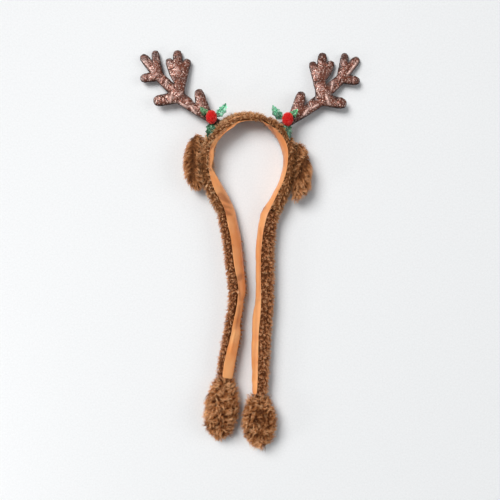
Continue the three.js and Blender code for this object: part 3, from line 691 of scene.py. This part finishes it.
def joined_linings():
    """The three lining solids as one closed strip, open where they meet."""
    draft = bmesh.new()
    for node in LININGS:
        draft.from_mesh(nodes[node].data)
    bmesh.ops.remove_doubles(draft, verts=draft.verts, dist=SAME_POINT)
    for node in LININGS[1:]:
        vertices = nodes[node].data.vertices
        tree = kdtree.KDTree(len(vertices))
        for k, vertex in enumerate(vertices):
            tree.insert(vertex.co, k)
        tree.balance()
        near = [v for v in draft.verts if tree.find(v.co)[2] < SEAM_GAP]
        meeting = {v for v in near if any((w.co - v.co).length < SEAM_GAP and w != v for w in near)}
        caps = [face for face in draft.faces if all(v in meeting for v in face.verts)]
        bmesh.ops.delete(draft, geom=caps, context="FACES_ONLY")
    bmesh.ops.remove_doubles(draft, verts=draft.verts, dist=SEAM_GAP)
    bmesh.ops.join_triangles(
        draft, faces=draft.faces, angle_face_threshold=1.2, angle_shape_threshold=math.pi, cmp_seam=False
    )
    mesh = bpy.data.meshes.new("lining")
    draft.to_mesh(mesh)
    draft.free()
    return mesh


def turned_up(points):
    """The lining's points, with the left strap's turned to face up towards its lower end."""
    share = TURNED_UP * np.clip((TURN_START - points[:, 1]) / TURN_RUN, 0, 1) * (points[:, 0] < TURN_SIDE)
    top = points[:, 2].max()
    points[:, 2] = top - (top - points[:, 2]) * (1 - share)
    return points


def lining(satin):
    """The satin strip; gives the search tree from which the plush beside it is trimmed."""
    mesh = applied(joined_linings(), ("SUBSURF", {"levels": 3, "render_levels": 3}))
    set_points(mesh, nudged(turned_up(revealed(arrays(mesh)[0])), SLEEVE_NUDGES))
    points, normals, _ = arrays(mesh)
    sink = sum(crease_depth(points, **crease) for crease in CREASES)
    sink = sink * np.clip(1.4 * normals[:, 2] + 0.6, 0, 1)  # none on the side that faces down
    pucker = np.array([noise.noise(Vector(p) / CREASE_SIZE) for p in points])
    slow = np.array([noise.noise(Vector(p) / SWELL_SIZE) for p in points])
    lift = PUCKER * pucker + SWELL * slow - np.where(sink > 0, CREASE_SINK * sink, sink)
    set_points(mesh, points + normals * (lift * MM)[:, None])
    # painted light on the arch's light side and down the straps, painted shade in the creases
    painted_light = ARCH_LINING_PAINTED_LIGHT * on_light_side(points)
    painted_light = painted_light + STRAP_LINING_PAINTED_LIGHT * np.clip(-points[:, 1] / LINING_BRIGHTENS, 0, 1)
    add_tones(mesh, np.clip(SATIN_TONE + painted_light - CREASE_SHADE * sink, SATIN_DARKEST, 1))
    piece = link("satin_lining", mesh, satin)
    dress(piece, *LININGS, slot="satin")
    return tree_of(mesh)


# Paws and ears

PAW_PILE = {
    "spacing": 2.4 * MM,
    "strands": 9,
    "steps": 5,
    "length": 8.0 * MM,
    "width": 0.4 * MM,
    "lean": 0.78,
    "curl": 1.0 * MM,
    "turns": 1.15,
    "gather": 0.92,
    "stray": 0.65,
    "contrast": 0.26,
    "tuft": 1.2,
    "clump": 6.0 * MM,
    "clumping": 0.25,
}
EAR_PILE = {
    "spacing": 2.8 * MM,
    "strands": 13,
    "steps": 4,
    "length": 8.0 * MM,
    "width": 0.33 * MM,
    "lean": 0.8,
    "curl": 0.35 * MM,
    "turns": 0.6,
    "gather": 0.75,
    "stray": 0.28,
    "contrast": 0.2,
    "tuft": 1.12,
}
PAW_INSET = 4.6 * MM  # from the CAD solid in to the backing
EAR_INSET = {"left": 2.4 * MM, "right": 3.9 * MM}
PAW_VOXEL = 2.2 * MM
EAR_VOXEL = 2.0 * MM

SWIRL = {"left": 0.3, "right": 0.95}  # rise of the curls over their run, on a paw's left and right half
PAW_STRAIGHT = 0.3  # share of its size, from its middle, in which a paw's curls are combed straight sideways
PAW_LIGHT = {"left": 0.05, "right": 0.04}
PAW_DOWN = 0.25  # how far the curls of a paw are combed towards its tip
EAR_DOWN = 0.75  # and the pile of an ear

# The hollow in the palm of the right paw, and the creases down the ears, in pixels of the photograph
PALM = {"spot": (260.5, 418), "half": 6.0}
# painted shade in the palm's hollow
PALM_SHADE = 0.6
EAR_CREASES = {
    "left": [{"start": (194, 137), "end": (192.4, 178)}],
    "right": [
        {"start": (298.5, 141), "end": (295.5, 160)},
        {"start": (292.5, 167), "end": (291.5, 190)},
        {"start": (305.5, 160), "end": (300.5, 177)},
    ],
}
EAR_LIGHT = 0.16
EAR_SHADE = 0.95  # painted shade along a crease
EAR_SHADE_HALF = 2.5 * MM
EAR_TRIM = 0.55  # share of its length that the pile loses along a crease
EAR_TRIM_HALF = 2.0 * MM
EAR_END_TRIM = {"top": 0.45, "bottom": 0.3}

# Where the ears lie beside their solids: lines of the photograph, half width, and move across and up in
# millimetres
EAR_NUDGES = {
    "left": [{"start": (203, 155), "end": (203, 186), "half": 5.0, "move": (2.0, 0)}],
    "right": [
        {"start": (301, 201), "end": (303, 199), "half": 9.0, "move": (-5.5, 2.5)},
        {"start": (296, 150), "end": (293, 190), "half": 5.0, "move": (-2.0, 0)},
    ],
}


def paw(side, seed, plush, backing):
    """A stuffed paw of deep curls, with a hollow in the palm of the right one."""
    node = f"paw_{side}"
    low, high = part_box(node)
    middle = (np.array(low) + np.array(high)) / 2
    reach = PAW_STRAIGHT * (high.y - low.y)

    def combing(places, facing):
        """Away from the paw's middle line, and towards its tip."""
        off = places - middle
        off[:, 1] = np.where(np.abs(off[:, 1]) < reach, 0, off[:, 1] - np.sign(off[:, 1]) * reach)
        off = off / (PAW_STRAIGHT * (high.x - low.x))
        swirl = np.where(off[:, 0] > 0, SWIRL["right"], SWIRL["left"])
        return np.stack([off[:, 0], off[:, 1] + swirl * off[:, 0] - PAW_DOWN, 0 * off[:, 0]], 1)

    def tint(places, facing):
        away = lengths(seen(places) - PALM["spot"]).ravel() / PALM["half"]
        # painted shade in the hollow of the right paw's palm
        palm = PALM_SHADE * np.exp(-(away**2)) * (facing[:, 2] > 0) * (side == "right")
        return PAW_LIGHT[side] - palm

    skin = sunk(node, PAW_VOXEL, rounds=6, inset=PAW_INSET)
    base = link(f"{node}_backing", skin, backing)
    dress(base, node, slot="plush")
    curls = pile(f"{node}_curls", skin, plush, combing, PAW_PILE, seed, tint=tint)
    dress(curls, slot="plush")


def ear(side, seed, plush, backing):
    """A folded ear of long pile, combed away from its creases and down."""
    node = f"ear_{side}"

    def combing(places, facing):
        results = [off_line(places, **crease) for crease in EAR_CREASES[side]]
        nearest = np.stack([away for away, _, _ in results]).argmin(0)
        way = np.stack([way for _, way, _ in results])[nearest, np.arange(len(places))]
        return np.concatenate([way, np.zeros((len(places), 1))], 1) + np.array([0, -EAR_DOWN, 0])

    def creased(places, facing, half):
        return near_lines(places, EAR_CREASES[side], half) * (facing[:, 2] > 0.2)

    def tint(places, facing):
        # painted shade along the ear's creases
        dark = EAR_SHADE * creased(places, facing, EAR_SHADE_HALF)
        # and painted shade in the gap against the arch, where it is deeper than a crease's
        return EAR_LIGHT - np.maximum(dark, painted_gap_shade(places, facing))

    def trim(places, facing):
        ends = np.where(facing[:, 1] > 0, EAR_END_TRIM["top"], EAR_END_TRIM["bottom"])
        kept = 1 - EAR_TRIM * creased(places, facing, EAR_TRIM_HALF)
        return kept * (1 - ends * np.abs(facing[:, 1]))

    skin = sunk(node, EAR_VOXEL, rounds=5, inset=EAR_INSET[side])
    set_points(skin, nudged(arrays(skin)[0], EAR_NUDGES[side]))
    base = link(f"{node}_backing", skin, backing)
    dress(base, node, slot="ear_plush")
    fringe = pile(f"{node}_pile", skin, plush, combing, EAR_PILE, seed, tint=tint, trim=trim)
    dress(fringe, slot="ear_plush")


# Antlers

SIM_SCALE = 10  # cloth settings suit pieces about a metre long
START_FLATNESS = 0.55  # thickness of the flat cut before it is stuffed, over the stuffed one's
SEAM_HALF = 0.9 * MM  # half width of the sewn rim, which the simulation holds
SEAM_ALLOWANCE = 1.0 * MM  # what the fine skin's smoothing takes off the outline, given back
ANTLER_LEVEL = 20 * MM  # from the root's lower end, past which the antler falls evenly
ANTLER_VOXEL = 1.3 * MM
FRAMES = 20  # of the simulation
MOST_MOVED = 5 * MM  # by the simulation
RIM_FACING = 0.7  # how far up or down the skin faces at most on the sewn rim
RIM_DARK = 0.7  # millimetres from the middle plane, up to which the rim is darkest
RIM_FADE = 2.0  # millimetres past that, over which it grows light


def stuffed(start, pinned):
    """A flat closed skin blown up by cloth simulation, with its pinned points held."""
    points, _, _ = arrays(start)
    middle = points.mean(0)
    set_points(start, (points - middle) * SIM_SCALE)
    pad = bpy.data.objects.new("pad", start)
    bpy.context.scene.collection.objects.link(pad)
    group = pad.vertex_groups.new(name="rim")
    group.add([int(k) for k in np.nonzero(pinned)[0]], 1.0, "REPLACE")
    cloth = pad.modifiers.new("cloth", "CLOTH")
    settings = cloth.settings
    settings.quality = 6
    settings.mass = 0.3
    settings.tension_stiffness = settings.compression_stiffness = 40
    settings.shear_stiffness = 20
    settings.bending_stiffness = 0.2
    settings.use_pressure = True
    settings.uniform_pressure_force = 6
    settings.shrink_min = -0.07
    settings.vertex_group_mass = "rim"
    settings.effector_weights.gravity = 0
    cloth.collision_settings.use_collision = False
    for number in range(1, FRAMES + 1):
        bpy.context.scene.frame_set(number)
    evaluated = pad.evaluated_get(bpy.context.evaluated_depsgraph_get())
    result = bpy.data.meshes.new_from_object(evaluated)
    bpy.context.scene.frame_set(1)
    bpy.data.objects.remove(pad)
    moved = arrays(result)[0] / SIM_SCALE + middle - points
    moved = moved * np.minimum(1, MOST_MOVED / np.maximum(lengths(moved), 1e-9))
    set_points(result, points + moved)
    return result


# Where the antlers' notches run deeper than the solids': lines of the photograph, half width, and move across
# and up in millimetres
NOTCHES = {
    "left": [
        {"start": (170.5, 80.5), "end": (170.5, 80.5), "half": 6.0, "move": (4.0, -4.0)},
        {"start": (195.5, 101.5), "end": (195.5, 101.5), "half": 5.0, "move": (-0.5, -3.5)},
    ],
    "right": [
        {"start": (325, 80), "end": (325, 80), "half": 110.0, "move": (0.0, 2.0)},
        {"start": (330, 78), "end": (331, 82), "half": 5.5, "move": (-6.5, -4.0)},
        {"start": (304.0, 103), "end": (304.0, 103), "half": 5.0, "move": (0.5, -3.0)},
    ],
}

# Sharp ridges of the antlers' fabric: start and end in pixels of the photograph, half width, and depth, which
# is below nothing, in millimetres
FOLDS = {
    "left": [
        {"start": (172.0, 93), "end": (170.5, 102), "half": 1.5, "deep": -2.2},
        {"start": (167, 80), "end": (165.5, 87), "half": 1.1, "deep": -1.8},
        {"start": (182, 92), "end": (179, 96), "half": 1.0, "deep": -1.8},
        {"start": (181.5, 104), "end": (187, 107), "half": 1.4, "deep": -1.8},
        {"start": (190.5, 106), "end": (196, 114), "half": 1.4, "deep": -2.0},
        {"start": (143.4, 60.7), "end": (152.9, 72.4), "half": 1.4, "deep": -1.4},
    ],
    "right": [
        {"start": (326.5, 95), "end": (328.5, 104), "half": 1.5, "deep": -2.2},
        {"start": (333, 82), "end": (331.5, 89), "half": 1.1, "deep": -1.8},
        {"start": (317.5, 91), "end": (320.5, 97), "half": 1.0, "deep": -1.8},
        {"start": (317.5, 105), "end": (312.5, 108), "half": 1.4, "deep": -1.8},
        {"start": (309, 108), "end": (304, 115), "half": 1.4, "deep": -2.0},
        {"start": (357.5, 61.5), "end": (347.5, 75), "half": 1.4, "deep": -1.4},
    ],
}
FOLD_GROWS = 2  # a ridge has its whole height from half the antler's thickness up
PAINTED_GLINT_RISE = 1.2  # of a ridge, in millimetres, where the painted highlight is full
MOST_PAINTED_GLINT = 0.9
DARK_FOOT = 16 * MM  # from the antler's lower end, over which the shade of the sprig is painted on it


def antler(side, glitter):
    """The stuffed antler: two flat cuts sewn round the rim, puffed up, puckered where the branches meet."""
    node = f"antler_{side}"
    low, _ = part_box(node)
    flat = nodes[node].data.copy()
    points, _, _ = arrays(flat)
    beyond = points[:, 1] > low.y + ANTLER_LEVEL
    slope, rise = np.polyfit(points[beyond, 1], points[beyond, 2], 1)

    def middle(points):
        """Height of the middle plane: level at the root, then falling to the tips."""
        return np.minimum(ARCH_MIDDLE.z, rise + slope * points[:, 1])

    thickness = points[:, 2] - middle(points)
    half = np.abs(thickness).max()
    points[:, 2] = middle(points) + START_FLATNESS * thickness
    set_points(flat, points)
    flat = rounded(flat, ANTLER_VOXEL, rounds=3)
    points, normals, _ = arrays(flat)
    points = points + normals * [SEAM_ALLOWANCE, SEAM_ALLOWANCE, 0]
    set_points(flat, points)
    pinned = (np.abs(points[:, 2] - middle(points)) < SEAM_HALF) & (np.abs(normals[:, 2]) < RIM_FACING)
    mesh = applied(stuffed(flat, pinned), ("SUBSURF", {"levels": 1, "render_levels": 1}))
    points, normals, _ = arrays(mesh)
    height = points[:, 2] - middle(points)
    height = height * half / max(half, np.percentile(np.abs(height), 98))
    fall = ARCH_MIDDLE.z - middle(points)
    points[:, :2] *= 1 + (fall / CAMERA_HEIGHT)[:, None]
    points = nudged(points, NOTCHES[side])
    fold = sum(crease_depth(points, **row) for row in FOLDS[side])
    fold = fold * np.clip(FOLD_GROWS * height / half, 0, 1)
    points[:, 2] = np.maximum(middle(points) + height - fold * MM, LOWEST)
    set_points(mesh, points)
    # painted shade of the sprig near the antler's foot, and darker at the sewn rim
    foot = np.clip((points[:, 1] - low.y) / DARK_FOOT, 0, 1)
    add_tones(mesh, np.clip((np.abs(height) / MM - RIM_DARK) / RIM_FADE, 0, 1) * foot)
    # painted highlight on the fold ridges
    add_tones(mesh, np.clip(-fold / PAINTED_GLINT_RISE, 0, MOST_PAINTED_GLINT), "painted_highlight")
    piece = link(f"{node}_glitter", mesh, glitter)
    dress(piece, node, slot="glitter_fabric")


# Holly

# How leaves and berries stand off their solids: across and up the photograph and off the surface, in
# millimetres, and how much larger they are
SPRIG = {
    "holly_leaf_inner_left": {"move": (-1.1, 2.6, 0.0), "grow": 1.08},
    "holly_leaf_outer_left": {"move": (0.0, -1.8, 0.0), "grow": 1.0},
    "holly_leaf_lower_left": {"move": (-1.4, -3.0, 1.5), "grow": 1.18},
    "berry_left": {"move": (0.0, -1.6, 0.0), "grow": 1.03},
    "holly_leaf_inner_right": {"move": (-0.6, 4.6, 0.0), "grow": 1.12},
    "holly_leaf_outer_right": {"move": (-3.2, 0.6, 0.0), "grow": 1.0},
    "holly_leaf_lower_right": {"move": (-2.0, 1.8, 1.5), "grow": 1.25},
    "berry_right": {"move": (-1.3, 0.8, 0.0), "grow": 1.03},
}


LEAF_RIPPLE = 0.35 * MM
RIPPLE_SIZE = 3.5 * MM
# Painted light and shade: a leaf's tone at its middle, how much lighter its upper end is, and how much its
# ripples
LEAF_PAINTED_LIGHT = {
    "outer": {"level": 0.3, "steep": 1.6},
    "inner": {"level": 0.6, "steep": 0.6},
    "lower": {"level": 0.6, "steep": 0.6},
}
RIPPLE_PAINTED_LIGHT = 0.6


def fitted(node, points):
    """Points of a leaf or berry moved and grown to where it lies in the photograph."""
    low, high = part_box(node)
    middle = (np.array(low) + np.array(high)) / 2
    row = SPRIG[node]
    return middle + (points - middle) * [row["grow"], row["grow"], 1] + np.array(row["move"]) * MM


def holly_leaf(leaf, side, glitter):
    node = f"holly_leaf_{leaf}_{side}"
    draft = bmesh.new()
    draft.from_mesh(nodes[node].data)
    bmesh.ops.remove_doubles(draft, verts=draft.verts, dist=SAME_POINT)
    bmesh.ops.subdivide_edges(draft, edges=draft.edges, cuts=3, use_grid_fill=True)
    mesh = bpy.data.meshes.new(node)
    draft.to_mesh(mesh)
    draft.free()
    points, _, _ = arrays(mesh)
    ripple = np.array([noise.noise(Vector(p) / RIPPLE_SIZE) for p in points])
    points = fitted(node, points + np.array([0, 0, 1]) * (LEAF_RIPPLE * ripple)[:, None])
    set_points(mesh, points)
    # painted light on the leaf's upper end and ripple crests, painted shade below
    upper = points[:, 1] - points[:, 1].mean()
    level, steep = LEAF_PAINTED_LIGHT[leaf]["level"], LEAF_PAINTED_LIGHT[leaf]["steep"]
    add_tones(mesh, np.clip(level + RIPPLE_PAINTED_LIGHT * ripple + steep * upper / np.abs(upper).max(), 0, 1))
    piece = link(f"{node}_glitter", mesh, glitter)
    dress(piece, node, slot="glitter_leaf")


BERRY_FUZZ = {
    "spacing": 1.2 * MM,
    "strands": 6,
    "steps": 3,
    "length": 1.5 * MM,
    "width": 0.24 * MM,
    "lean": 0.15,
    "curl": 0.12 * MM,
    "turns": 0.5,
    "gather": 0.3,
    "stray": 0.8,
    "contrast": 0.12,
    "tuft": 1.2,
}
BERRY_VOXEL = 1.0 * MM
BERRY_INSET = 0.9 * MM


def berry(side, seed, red, backing):
    node = f"berry_{side}"
    skin = sunk(node, BERRY_VOXEL, rounds=4, inset=BERRY_INSET)
    set_points(skin, fitted(node, arrays(skin)[0]))
    base = link(f"{node}_backing", skin, backing)
    dress(base, node, slot="berry_plush")
    fuzz = pile(f"{node}_fuzz", skin, red, lambda places, facing: 0 * facing, BERRY_FUZZ, seed)
    dress(fuzz, slot="berry_plush")


# Stage

SURFACE_HALF = 3.0  # metres
# Lights by name: kind, place that it shines from towards the middle, power, and size
LIGHTS = {
    "key": {"kind": "SUN", "place": (-1.1, 1.05, 1.8), "power": 2.35, "angle": 0.6},
    "right": {"kind": "SUN", "place": (1.5, 0.1, 1.0), "power": 0.5, "angle": 0.6},
    "top": {"kind": "AREA", "place": (-0.3, 0.5, 1.1), "power": 1.8, "shape": "DISK", "size": 0.45},
    "left": {"kind": "AREA", "place": (-1.0, -0.5, 0.45), "power": 1.8, "shape": "DISK", "size": 0.25},
}
ROOM_COLOUR = (0.88, 0.95, 1, 1)
ROOM_STRENGTH = 0.2


def camera():
    data = bpy.data.cameras.new("camera")
    data.lens = LENS
    data.sensor_width = SENSOR
    eye = bpy.data.objects.new("camera", data)
    eye.location = (0, CAMERA_SHIFT, CAMERA_HEIGHT)
    bpy.context.scene.collection.objects.link(eye)
    bpy.context.scene.camera = eye


def light(name, kind, place, power, **settings):
    data = bpy.data.lights.new(name, kind)
    data.energy = power
    for key, value in settings.items():
        setattr(data, key, value)
    lamp = bpy.data.objects.new(name, data)
    lamp.location = place
    lamp.rotation_euler = Vector(place).to_track_quat("Z", "Y").to_euler()
    bpy.context.scene.collection.objects.link(lamp)


def studio():
    mesh = bpy.data.meshes.new("surface")
    half = SURFACE_HALF
    corners = [(-half, -half, 0), (half, -half, 0), (half, half, 0), (-half, half, 0)]
    mesh.from_pydata(corners, [], [(0, 1, 2, 3)])
    surface = link("surface", mesh, floor_material())
    for name, row in LIGHTS.items():
        light(name, **row)
    world = bpy.data.worlds.new("studio")
    world.use_nodes = True
    background = world.node_tree.nodes["Background"]
    background.inputs["Color"].default_value = ROOM_COLOUR
    background.inputs["Strength"].default_value = ROOM_STRENGTH
    bpy.context.scene.world = world
    bpy.context.scene.view_settings.view_transform = "Standard"


# Making

camera()
studio()

plush = plush_material("brown_plush", "#5f2f12", "#cb8250", "#f8c594")
arch_plush = plush_material("arch_plush", "#7d4c26", "#cb8a56", "#f6cb9c")
paw_plush = plush_material("curly_plush", "#56270a", "#c17842", "#ffc892")
plush_backing = plush_material("brown_backing", "#4a260d", "#6b3a19", "#8a502b")
ear_plush = plush_material("tan_plush", "#66371a", "#c07c48", "#f3bb88")
ear_backing = plush_material("tan_backing", "#5a3216", "#835029", "#a5703f")
satin = satin_material()

satin_tree = lining(satin)
plush_sleeve("arch_plush", satin_tree, 10, arch_plush, ear_backing)
plush_sleeve("strap_plush_left", satin_tree, 11, plush, plush_backing)
plush_sleeve("strap_plush_right", satin_tree, 12, plush, plush_backing)

# the dark rim colour serves the sewn edge and the painted shade at the antlers' feet
brown_glitter = glitter_material("brown_glitter", "#3c150a", "#86462e", "#ffdccd", "#1e0c07", 1.0 * MM, 0.5)
leaf_colours = {
    "inner": ("#2c9a64", "#86e4b2", "#f4fff9"),
    "outer": ("#1f8a45", "#74dc98", "#f2fff6"),
    "lower": ("#0e4226", "#2a8050", "#c8ffdf"),
}
leaf_glitters = {
    # the dark green is painted shade on the leaves' lower parts
    leaf: glitter_material(f"{leaf}_leaf_glitter", *colours, "#07200f", 0.9 * MM, 0.9)
    for leaf, colours in leaf_colours.items()
}
red = plush_material("red_pompom", "#dd141c", "#ff3a3c", "#ffa89a")
red_backing = plush_material("red_backing", "#c81016", "#dd1a1f", "#e8282c")

for number, side in enumerate(SIDES):
    paw(side, 20 + number, paw_plush, plush_backing)
    ear(side, 30 + number, ear_plush, ear_backing)
    antler(side, brown_glitter)
    berry(side, 40 + number, red, red_backing)
    for leaf, glitter in leaf_glitters.items():
        holly_leaf(leaf, side, glitter)
